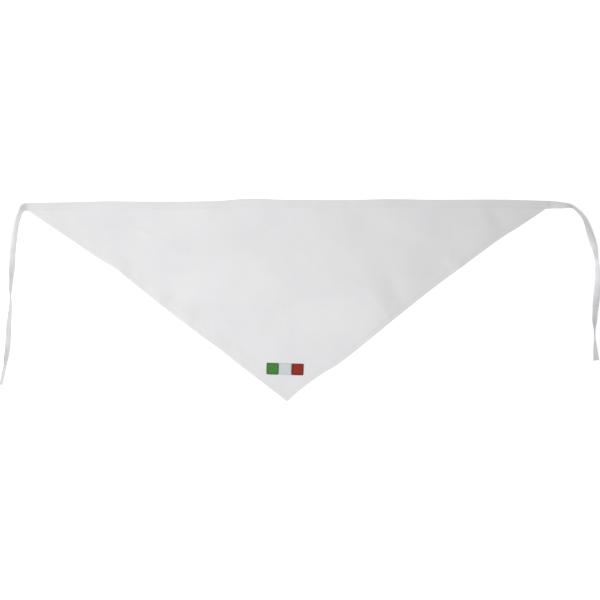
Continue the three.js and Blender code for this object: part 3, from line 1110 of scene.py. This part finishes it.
@dataclass
class Tie:
    """Flat tape tie that leaves one upper corner and stands up on its edge here and there."""

    side: Side
    length: float
    turns: tuple[Turn, ...]
    pattern: Pattern
    layout: Layout
    seed: int
    width: float = 0.011
    wall: float = 0.0012
    root_wall: float = 0.0014
    root_width: float = 0.0118
    root_run: float = 0.014
    turned_end: float = 0.007
    steps: int = 321
    section_points: int = 33
    seam_share: float = -0.7
    pinch_rate: float = 900.0
    pinch_reach: int = 10
    pleat_pitch: float = 0.0029
    pleat_height: float = 0.0002
    frames: tuple[Array, Array, Array, Array, Array] = field(init=False)

    def __post_init__(self) -> None:
        """Work out the route of the tape."""
        self.frames = self.follow()

    @property
    def seam_place(self) -> float:
        """Place of the seam across the tape, on the side of the neck tape's seam."""
        return self.seam_share * self.side.value

    def route(self, count: int) -> tuple[Array, Array]:
        """Smooth curve through the route's points.

        Args:
            count: How many points to put between each two rows of the table.

        Returns:
            Points along the curve, and the place of each in the table from 0 to 1.
        """
        cut = self.pattern
        sign = self.side.value
        root_x = cut.half_edge + cut.seam_gap
        root_y = float(cut.neck_line(np.array([sign * cut.half_edge]))[0]) - cut.band_width / 2
        out = np.array([turn.out for turn in self.turns])
        down = np.array([turn.down for turn in self.turns])
        knots = np.stack([sign * (root_x + out * self.length), root_y - down * self.length], axis=-1)
        knots = np.concatenate([[2 * knots[0] - knots[1]], knots, [2 * knots[-1] - knots[-2]]])
        gaps = np.sqrt(np.hypot(*np.diff(knots, axis=0).T))
        points, places = [], []
        spans = len(self.turns) - 1
        for index in range(spans):
            p0, p1, p2, p3 = knots[index:index + 4]
            d0, d1, d2 = gaps[index:index + 3]
            leave = ((p1 - p0) / d0 - (p2 - p0) / (d0 + d1) + (p2 - p1) / d1) * d1
            arrive = ((p2 - p1) / d1 - (p3 - p1) / (d1 + d2) + (p3 - p2) / d2) * d1
            t = (np.arange(count) / count)[:, None]
            curve = p1 + leave * t + (-3 * p1 + 3 * p2 - 2 * leave - arrive) * t**2
            points.append(curve + (2 * p1 - 2 * p2 + leave + arrive) * t**3)
            places.append((index + t[:, 0]) / spans)
        points.append(knots[-2][None, :])
        places.append(np.array([1.0]))
        return np.concatenate(points), np.concatenate(places)

    def follow(self) -> tuple[Array, Array, Array, Array, Array]:
        """Even steps along the route.

        Returns:
            The middle of the tape, its sideways direction, its roll in radians, the distance
            from its root and the bulge of its middle, each by step.
        """
        points, places = self.route(60)
        run = np.concatenate([[0.0], np.cumsum(np.hypot(*np.diff(points, axis=0).T))])
        steps = np.linspace(0.0, run[-1], self.steps)
        middle = np.stack([np.interp(steps, run, points[:, axis]) for axis in range(2)], axis=-1)
        place = np.interp(steps, run, places)
        heading = np.gradient(middle, steps, axis=0)
        heading[0] = (self.side.value, 0.0)
        heading /= np.hypot(*heading.T)[:, None]
        sideways = np.stack([-heading[:, 1], heading[:, 0]], axis=-1)
        spans = len(self.turns) - 1
        rolls = tuple(Row(i / spans, turn.roll) for i, turn in enumerate(self.turns))
        cups = tuple(Row(i / spans, turn.cup) for i, turn in enumerate(self.turns))
        draws = np.random.default_rng(self.seed)
        wander = np.zeros(self.steps)
        for wave in (0.021, 0.034, 0.055):
            wander += draws.uniform(1.0, 2.2) * np.sin(2 * math.pi * steps / wave + draws.uniform(0, 6))
        roll = read_rows(rolls, place) + wander * smooth_step(steps / 0.03)
        return middle, sideways, np.radians(roll), steps, read_rows(cups, place)

    def lay(self, across: Array, height: Array) -> Array:
        """Put points of the tape's section in their place along the route.

        Args:
            across: Distance from the tape's middle, by step and point.
            height: Distance from the tape's mid surface, by step and point.

        Returns:
            The points before the tape is let down onto the floor.
        """
        middle, sideways, roll = self.frames[:3]
        flat = across * np.cos(roll)[:, None] - height * np.sin(roll)[:, None]
        high = across * np.sin(roll)[:, None] + height * np.cos(roll)[:, None]
        plan = middle[:, None, :] + sideways[:, None, :] * flat[:, :, None]
        return np.concatenate([plan, high[:, :, None]], axis=-1)

    def pinch_and_painted_shade(self) -> Array:
        """How far the tape is creased at each step, where it turns up onto its edge. It sets both the height of the
        pleats and the strength of the painted shade in the creases.

        Returns:
            The share, from 0 to 1, by step.
        """
        roll, steps = np.abs(np.degrees(self.frames[2])), self.frames[3]
        rate = np.gradient(roll, steps)
        creased_and_painted_shade = np.clip(rate / self.pinch_rate, 0.0, 1.0) * smooth_step((roll - 20.0) / 35.0)
        spread = np.exp(-np.linspace(-1.7, 1.7, 2 * self.pinch_reach + 1) ** 2)
        padded = np.pad(creased_and_painted_shade, self.pinch_reach, mode="edge")
        return np.convolve(padded, spread / spread.sum(), mode="valid")

    def pleats(self, across: Array) -> Array:
        """Wave of the fine lengthwise pleats, from -1 to 1, by step and place."""
        drift = 0.6 * np.sin(self.frames[3] / 0.017 + self.seed)
        return np.sin(2 * math.pi * (across / self.pleat_pitch + drift[:, None]))

    def shape(self, shares: Array) -> tuple[Array, Array, Array]:
        """Section of the tape at every step.

        Args:
            shares: Places across the tape, from -1 to 1.

        Returns:
            The distance across, the mid surface's height and half the wall, by step and place.
        """
        steps, cup = self.frames[3:]
        draws = np.random.default_rng(self.seed + 7)
        ripple = np.zeros(self.steps)
        for wave in (0.0047, 0.0071, 0.013):
            ripple += np.sin(2 * math.pi * steps / wave + draws.uniform(0, 6)) / 3
        root = 1 - smooth_step(steps / self.root_run)
        half = (self.width + (self.root_width - self.width) * root) / 2
        half = half * (1 + 0.012 * ripple * (1 - root)) * (1 - 8 / 3 * cup**2)
        across = half[:, None] * shares[None, :]
        arch = self.width * cup[:, None] * (1 - shares**2)[None, :]
        tick = 0.00016 * (ripple * (1 - root))[:, None] * (np.abs(shares) ** 3)[None, :]
        pleats = self.pleat_height * self.pleats(across) * (1 - shares**4)[None, :]
        tick = tick + pleats * ((0.2 + self.pinch_and_painted_shade()) * (1 - root))[:, None]
        thick = self.wall + (self.root_wall - self.wall) * root
        thick = thick + 0.0005 * smooth_step((steps - steps[-1] + self.turned_end) / 0.0006)
        rounded = 0.3 + 0.7 * np.sqrt(1 - np.abs(shares) ** 7)
        ditch = 1 - 0.22 * np.exp(-(((shares - self.seam_place) / 0.1) ** 2))
        return across, arch + tick, thick[:, None] / 2 * (rounded * ditch)[None, :]

    def build(self, material: bpy.types.Material) -> bpy.types.Object:
        """Make the tie.

        Args:
            material: The tape's finish.

        Returns:
            The finished piece.
        """
        shares = np.sin(np.linspace(-math.pi / 2, math.pi / 2, self.section_points))
        across, arch, half = self.shape(shares)
        upper = self.lay(across, arch + half)
        lower = self.lay(across, arch - half)
        ground = np.minimum(upper[..., 2].min(axis=1), lower[..., 2].min(axis=1))
        upper[..., 2] -= ground[:, None]
        lower[..., 2] -= ground[:, None]
        along = np.repeat(self.frames[3][:, None], len(shares), axis=1)
        chart = np.stack([across, along], axis=-1)
        piece = shell_object(
            f"tie_{self.side.word}_tape", self.layout.place(upper), self.layout.place(lower), chart
        )
        # Painted shade: the tie's colour darkens in its creases, more in the hollows of the pleats, and near its
        # root where it leaves the corner under the neck tape.
        hollow_painted_shade = 0.65 - 0.35 * self.pleats(across)
        root = 0.55 * (1 - smooth_step(self.frames[3] / self.root_run))
        creased_and_painted_shade = np.clip(self.pinch_and_painted_shade()[:, None] * hollow_painted_shade + root[:, None], 0.0, 1.0).ravel()
        layer = piece.data.attributes.new("pinch_and_painted_shade", "FLOAT", "POINT")
        layer.data.foreach_set("value", np.concatenate([creased_and_painted_shade, creased_and_painted_shade]).astype(np.float32))
        dress(piece, material)
        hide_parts(f"tie_{self.side.word}")
        return piece

    def seams(self) -> list[Array]:
        """Lines of the stitching that closes the tape, on both of its faces.

        Returns:
            Runs of points that are clear of the floor.
        """
        even = np.linspace(-math.pi / 2, math.pi / 2, self.section_points)
        shares = np.append(np.sin(even), self.seam_place)
        across, arch, half = self.shape(shares)
        upper = self.lay(across, arch + half)
        lower = self.lay(across, arch - half)
        ground = np.minimum(upper[..., 2].min(axis=1), lower[..., 2].min(axis=1))
        runs = []
        for face in (upper[:, -1], lower[:, -1]):
            line = face.copy()
            line[:, 2] -= ground
            clear = (line[:, 2] > 0.0003) & (self.frames[3] > 0.004)
            start = None
            for index, is_clear in enumerate(clear):
                if is_clear and start is None:
                    start = index
                if start is not None and (not is_clear or index == len(clear) - 1):
                    if index - start > 6:
                        runs.append(line[start:index])
                    start = None
        return runs


@dataclass
class StripeMark:
    """Three satin-stitched blocks in a row above the point."""

    pattern: Pattern
    relief: Relief
    layout: Layout
    width: float = 0.0183
    depth: float = 0.0174
    margin: float = 0.0023
    offset: float = -0.003
    tilt: float = -1.6
    rise: float = 0.00045
    rim_rise: float = 0.00014
    grid: int = 31

    def spot(self, place: int, east: Array, north: Array) -> tuple[Array, Array]:
        """Place on the cloth of a point of a block.

        Args:
            place: -1, 0 or 1 along the row.
            east: Distance to the right of the block's middle.
            north: Distance above the block's middle.

        Returns:
            The x and y of the point in the pattern.
        """
        cut = self.pattern
        row_half = self.width * 1.5 + cut.seam_gap
        to_hem = (row_half + abs(self.offset)) * cut.side_slope
        to_hem += (cut.hem_width + cut.hem_ramp) * cut.slant
        centre_y = -cut.drop + to_hem + self.margin + self.depth / 2
        angle = math.radians(self.tilt)
        right = place * (self.width + cut.seam_gap) + east
        x = self.offset + right * math.cos(angle) - north * math.sin(angle)
        y = centre_y + right * math.sin(angle) + north * math.cos(angle)
        return x, y

    def build(self, name: str, place: int, material: bpy.types.Material, slot: Slot) -> bpy.types.Object:
        """Make one block.

        Args:
            name: The colour word in the block's name.
            place: -1, 0 or 1 along the row.
            material: The block's finish.
            slot: The record's slot for that finish; not used.

        Returns:
            The finished piece.
        """
        cut = self.pattern
        share = np.sin(np.linspace(-math.pi / 2, math.pi / 2, self.grid))
        u, v = np.meshgrid(share, share, indexing="ij")
        east = u * self.width / 2 * (1 - 0.035 * np.abs(v) ** 10)
        north = v * self.depth / 2 * (1 - 0.035 * np.abs(u) ** 10)
        x, y = self.spot(place, east, north)
        ground = cut.cloth_wall + cut.folds(x, y) + self.relief.height(x, y)
        edge = np.maximum(np.abs(u), np.abs(v))
        roll_off = np.sqrt(np.clip(1 - edge**12, 0.0, 1.0))
        rim = self.rim_rise * np.exp(-(((edge - 0.9) / 0.06) ** 2))
        under = np.stack([x, y, ground + 0.00004], axis=-1)
        over = np.stack([x, y, ground + 0.00012 + (self.rise + rim) * roll_off], axis=-1)
        chart = np.stack([(u + 1) / 2, (v + 1) / 2], axis=-1)
        piece = shell_object(f"satin_block_{name}", self.layout.place(over), self.layout.place(under), chart)
        dress(piece, material)
        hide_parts(f"stripe_{name}")
        return piece


@dataclass
class Stitching:
    """Rows of straight stitches, set along a seam by one node tree."""

    layout: Layout
    material: bpy.types.Material
    pitch: float = 0.0031
    length: float = 0.0025
    thickness: float = 0.00042
    variation: float = 0.08
    seed: int = 5
    tree: bpy.types.NodeTree = field(init=False)

    def __post_init__(self) -> None:
        """Build the node tree once for all seams."""
        self.tree = self.build_tree()

    def build_tree(self) -> bpy.types.NodeTree:
        """Node tree that sets one small stitch after another along a line of edges.

        Returns:
            The tree, with named inputs for its sizes.
        """
        tree = bpy.data.node_groups.new("row_of_stitches", "GeometryNodeTree")
        sockets = tree.interface
        sockets.new_socket("Seam", in_out="INPUT", socket_type="NodeSocketGeometry")
        for name in ("Pitch", "Length", "Thickness", "Variation"):
            sockets.new_socket(name, in_out="INPUT", socket_type="NodeSocketFloat")
        sockets.new_socket("Seed", in_out="INPUT", socket_type="NodeSocketInt")
        sockets.new_socket("Stitches", in_out="OUTPUT", socket_type="NodeSocketGeometry")
        nodes, links = tree.nodes, tree.links
        given = nodes.new("NodeGroupInput")
        result = nodes.new("NodeGroupOutput")
        curve = nodes.new("GeometryNodeMeshToCurve")
        even = nodes.new("GeometryNodeResampleCurve")
        even.mode = "LENGTH"
        tangent = nodes.new("GeometryNodeInputTangent")
        turn = nodes.new("FunctionNodeAlignRotationToVector")
        turn.axis = "X"
        low = nodes.new("ShaderNodeMath")
        low.operation = "SUBTRACT"
        low.inputs[0].default_value = 1.0
        high = nodes.new("ShaderNodeMath")
        high.operation = "ADD"
        high.inputs[0].default_value = 1.0
        chance = nodes.new("FunctionNodeRandomValue")
        chance.data_type = "FLOAT"
        size = nodes.new("ShaderNodeCombineXYZ")
        varied = nodes.new("ShaderNodeVectorMath")
        varied.operation = "SCALE"
        bead = nodes.new("GeometryNodeMeshUVSphere")
        bead.inputs["Segments"].default_value = 8
        bead.inputs["Rings"].default_value = 5
        bead.inputs["Radius"].default_value = 0.5
        smooth = nodes.new("GeometryNodeSetShadeSmooth")
        copies = nodes.new("GeometryNodeInstanceOnPoints")
        real = nodes.new("GeometryNodeRealizeInstances")
        finish = nodes.new("GeometryNodeSetMaterial")
        finish.inputs["Material"].default_value = self.material
        floats = {socket.name: socket for socket in chance.inputs if socket.enabled}
        links.new(given.outputs["Seam"], curve.inputs["Mesh"])
        links.new(curve.outputs["Curve"], even.inputs["Curve"])
        links.new(given.outputs["Pitch"], even.inputs["Length"])
        links.new(tangent.outputs[0], turn.inputs["Vector"])
        links.new(given.outputs["Variation"], low.inputs[1])
        links.new(given.outputs["Variation"], high.inputs[1])
        links.new(low.outputs[0], floats["Min"])
        links.new(high.outputs[0], floats["Max"])
        links.new(given.outputs["Seed"], floats["Seed"])
        links.new(given.outputs["Length"], size.inputs["X"])
        links.new(given.outputs["Thickness"], size.inputs["Y"])
        links.new(given.outputs["Thickness"], size.inputs["Z"])
        links.new(size.outputs[0], varied.inputs["Vector"])
        links.new(next(s for s in chance.outputs if s.enabled), varied.inputs["Scale"])
        links.new(bead.outputs["Mesh"], smooth.inputs["Geometry"])
        links.new(even.outputs["Curve"], copies.inputs["Points"])
        links.new(smooth.outputs["Geometry"], copies.inputs["Instance"])
        links.new(turn.outputs["Rotation"], copies.inputs["Rotation"])
        links.new(varied.outputs["Vector"], copies.inputs["Scale"])
        links.new(copies.outputs["Instances"], real.inputs["Geometry"])
        links.new(real.outputs["Geometry"], finish.inputs["Geometry"])
        links.new(finish.outputs["Geometry"], result.inputs["Stitches"])
        return tree

    def sew(self, name: str, runs: list[Array]) -> bpy.types.Object:
        """Sew along one or more lines.

        Args:
            name: Name of the new piece.
            runs: Lines of points in the pattern.

        Returns:
            The finished stitches, as one plain mesh.
        """
        points, edges, count = [], [], 0
        for run in runs:
            points.append(self.layout.place(run))
            edges.extend((count + i, count + i + 1) for i in range(len(run) - 1))
            count += len(run)
        line = bpy.data.meshes.new(f"{name}_line")
        line.from_pydata(np.concatenate(points).tolist(), edges, [])
        guide = bpy.data.objects.new(f"{name}_line", line)
        bpy.context.scene.collection.objects.link(guide)
        modifier = guide.modifiers.new("stitches", "NODES")
        modifier.node_group = self.tree
        sizes = {
            "Pitch": self.pitch,
            "Length": self.length,
            "Thickness": self.thickness,
            "Variation": self.variation,
            "Seed": self.seed,
        }
        for item in self.tree.interface.items_tree:
            if item.in_out == "INPUT" and item.name in sizes:
                modifier[item.identifier] = sizes[item.name]
        graph = bpy.context.evaluated_depsgraph_get()
        mesh = bpy.data.meshes.new_from_object(guide.evaluated_get(graph))
        mesh.name = name
        guide.modifiers.remove(modifier)
        bpy.data.objects.remove(guide)
        piece = bpy.data.objects.new(name, mesh)
        bpy.context.scene.collection.objects.link(piece)
        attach(piece, "root")
        return piece


@dataclass(frozen=True)
class Lamp:
    """One soft studio light.

    Kind is AREA or SPOT. Spot is where it hangs and aim where it points, in metres. Power is
    in watts, size the light's width in metres, and cone a spot's angle in degrees.
    """

    name: str
    kind: str
    spot: tuple[float, float, float]
    aim: tuple[float, float, float]
    power: float
    size: float
    cone: float = 0.0

    def hang(self) -> None:
        """Put the light in the scene."""
        data = bpy.data.lights.new(self.name, self.kind)
        data.energy = self.power
        if self.kind == "AREA":
            data.size = self.size
        else:
            data.shadow_soft_size = self.size / 2
            data.spot_size = math.radians(self.cone)
            data.spot_blend = 1.0
        light = bpy.data.objects.new(self.name, data)
        light.location = self.spot
        towards = mathutils.Vector(self.aim) - mathutils.Vector(self.spot)
        light.rotation_euler = towards.to_track_quat("-Z", "Y").to_euler()
        light.visible_camera = False
        bpy.context.scene.collection.objects.link(light)


@dataclass
class Studio:
    """Pale floor, soft light from the left and above, and a camera straight overhead."""

    view_width: float = 0.894
    lens: float = 240.0
    sensor: float = 36.0
    aim: tuple[float, float] = (-0.0006, 0.0002)
    floor_half: float = 25.0
    sky: float = 0.61
    lamps: tuple[Lamp, ...] = (
        Lamp("key_light", "AREA", (-2.6, -0.9, 1.12), (0.0, 0.0, 0.0), 27.0, 0.8),
        Lamp("fill_light", "SPOT", (-0.22, -0.1, 2.6), (-0.22, -0.02, 0.0), 106.0, 0.9, 35.0),
    )

    def build_floor(self) -> None:
        """Make the floor under the cloth."""
        half = self.floor_half
        level = -0.00005
        mesh = bpy.data.meshes.new("studio_floor")
        corners = [(-half, -half, level), (half, -half, level), (half, half, level), (-half, half, level)]
        mesh.from_pydata(corners, [], [(0, 1, 2, 3)])
        floor = bpy.data.objects.new("studio_floor", mesh)
        floor.data.materials.append(FloorFinish().material())
        bpy.context.scene.collection.objects.link(floor)

    def build_lights(self) -> None:
        """Set the soft sky and hang the lamps."""
        world = bpy.data.worlds.new("soft_room")
        world.use_nodes = True
        background = world.node_tree.nodes["Background"]
        background.inputs["Color"].default_value = (1.0, 1.0, 1.0, 1.0)
        background.inputs["Strength"].default_value = self.sky
        bpy.context.scene.world = world
        for lamp in self.lamps:
            lamp.hang()

    def build_camera(self) -> None:
        """Hang the camera straight over the cloth."""
        data = bpy.data.cameras.new("overhead_camera")
        data.lens = self.lens
        data.sensor_width = self.sensor
        data.sensor_fit = "HORIZONTAL"
        data.clip_end = 100.0
        camera = bpy.data.objects.new("overhead_camera", data)
        distance = self.view_width * self.lens / self.sensor
        camera.location = (*self.aim, distance + 0.0015)
        camera.rotation_euler = (0.0, 0.0, 0.0)
        bpy.context.scene.collection.objects.link(camera)
        bpy.context.scene.camera = camera

    def build(self) -> None:
        """Make the whole set, shown without any change of contrast."""
        self.build_floor()
        self.build_lights()
        self.build_camera()
        bpy.context.scene.view_settings.view_transform = "Standard"


def main() -> None:
    """Build the set and the neckerchief, and write how large it came out."""
    logging.basicConfig(level=logging.INFO, format="%(message)s")
    Studio().build()
    pattern = Pattern()
    relief = Relief(pattern)
    layout = Layout.from_frame(pattern)

    twill = ClothFinish("cotton_twill", (0.765, 0.765, 0.775), (0.70, 0.70, 0.712), Weave.TWILL).material()
    # The neck tape's colours are a little darker than the twill's: painted shade for the tape tilting away from the
    # light.
    tape = ClothFinish(
        "cotton_tape", (0.76, 0.76, 0.77), (0.69, 0.69, 0.70), Weave.HERRINGBONE, rib_pitch=0.0011
    ).material()
    tie_tape = ClothFinish(
        "tie_tape",
        (0.81, 0.81, 0.815),
        (0.725, 0.725, 0.735),
        Weave.HERRINGBONE,
        rib_pitch=0.0011,
        mottle_scale=60.0,
        # Colour of the painted shade in the tie's creases and at its root.
        painted_crease_shade=(0.53, 0.53, 0.54),
    ).material()
    thread = ThreadFinish("sewing_thread", (0.78, 0.78, 0.79), (0.62, 0.62, 0.63)).material()
    # The second colour of each satin block is the painted shade at its rim.
    green = SatinFinish("green_satin", (0.068, 0.228, 0.042), (0.014, 0.075, 0.014)).material()
    white = SatinFinish("white_satin", (0.60, 0.64, 0.645), (0.50, 0.54, 0.55)).material()
    red = SatinFinish("red_satin", (0.285, 0.023, 0.013), (0.10, 0.0066, 0.0055)).material()

    panel = Panel(pattern, relief, layout)
    cloth = panel.build(twill)
    LOG.info("panel: %d faces", len(cloth.data.polygons))
    hems = [Hem(side, pattern, relief, layout).build(twill) for side in Side]
    LOG.info("hems: %d pieces", len(hems))
    neck = NeckTape(pattern, relief, layout)
    neck.build(tape)
    LOG.info("neck tape built")
    mark = StripeMark(pattern, relief, layout)
    blocks = [
        mark.build("green", -1, green, Slot.GREEN),
        mark.build("white", 0, white, Slot.WHITE),
        mark.build("red", 1, red, Slot.RED),
    ]
    LOG.info("stripe mark: %d blocks", len(blocks))

    stitching = Stitching(layout, thread)
    seams = [
        stitching.sew(f"hem_{side.word}_stitches", [panel.hem_seam(side)]) for side in Side
    ]
    neck_seam = stitching.sew("neck_tape_stitches", [neck.seam()])
    ties = (
        Tie(Side.LEFT, 0.273, LEFT_TURNS, pattern, layout, seed=3),
        Tie(Side.RIGHT, 0.276, RIGHT_TURNS, pattern, layout, seed=8),
    )
    for tie in ties:
        piece = tie.build(tie_tape)
        seam = stitching.sew(f"tie_{tie.side.word}_stitches", tie.seams())
        LOG.info("tie at the %s: %.3f m long", tie.side.word, tie.frames[3][-1])


if __name__ == "__main__":
    main()
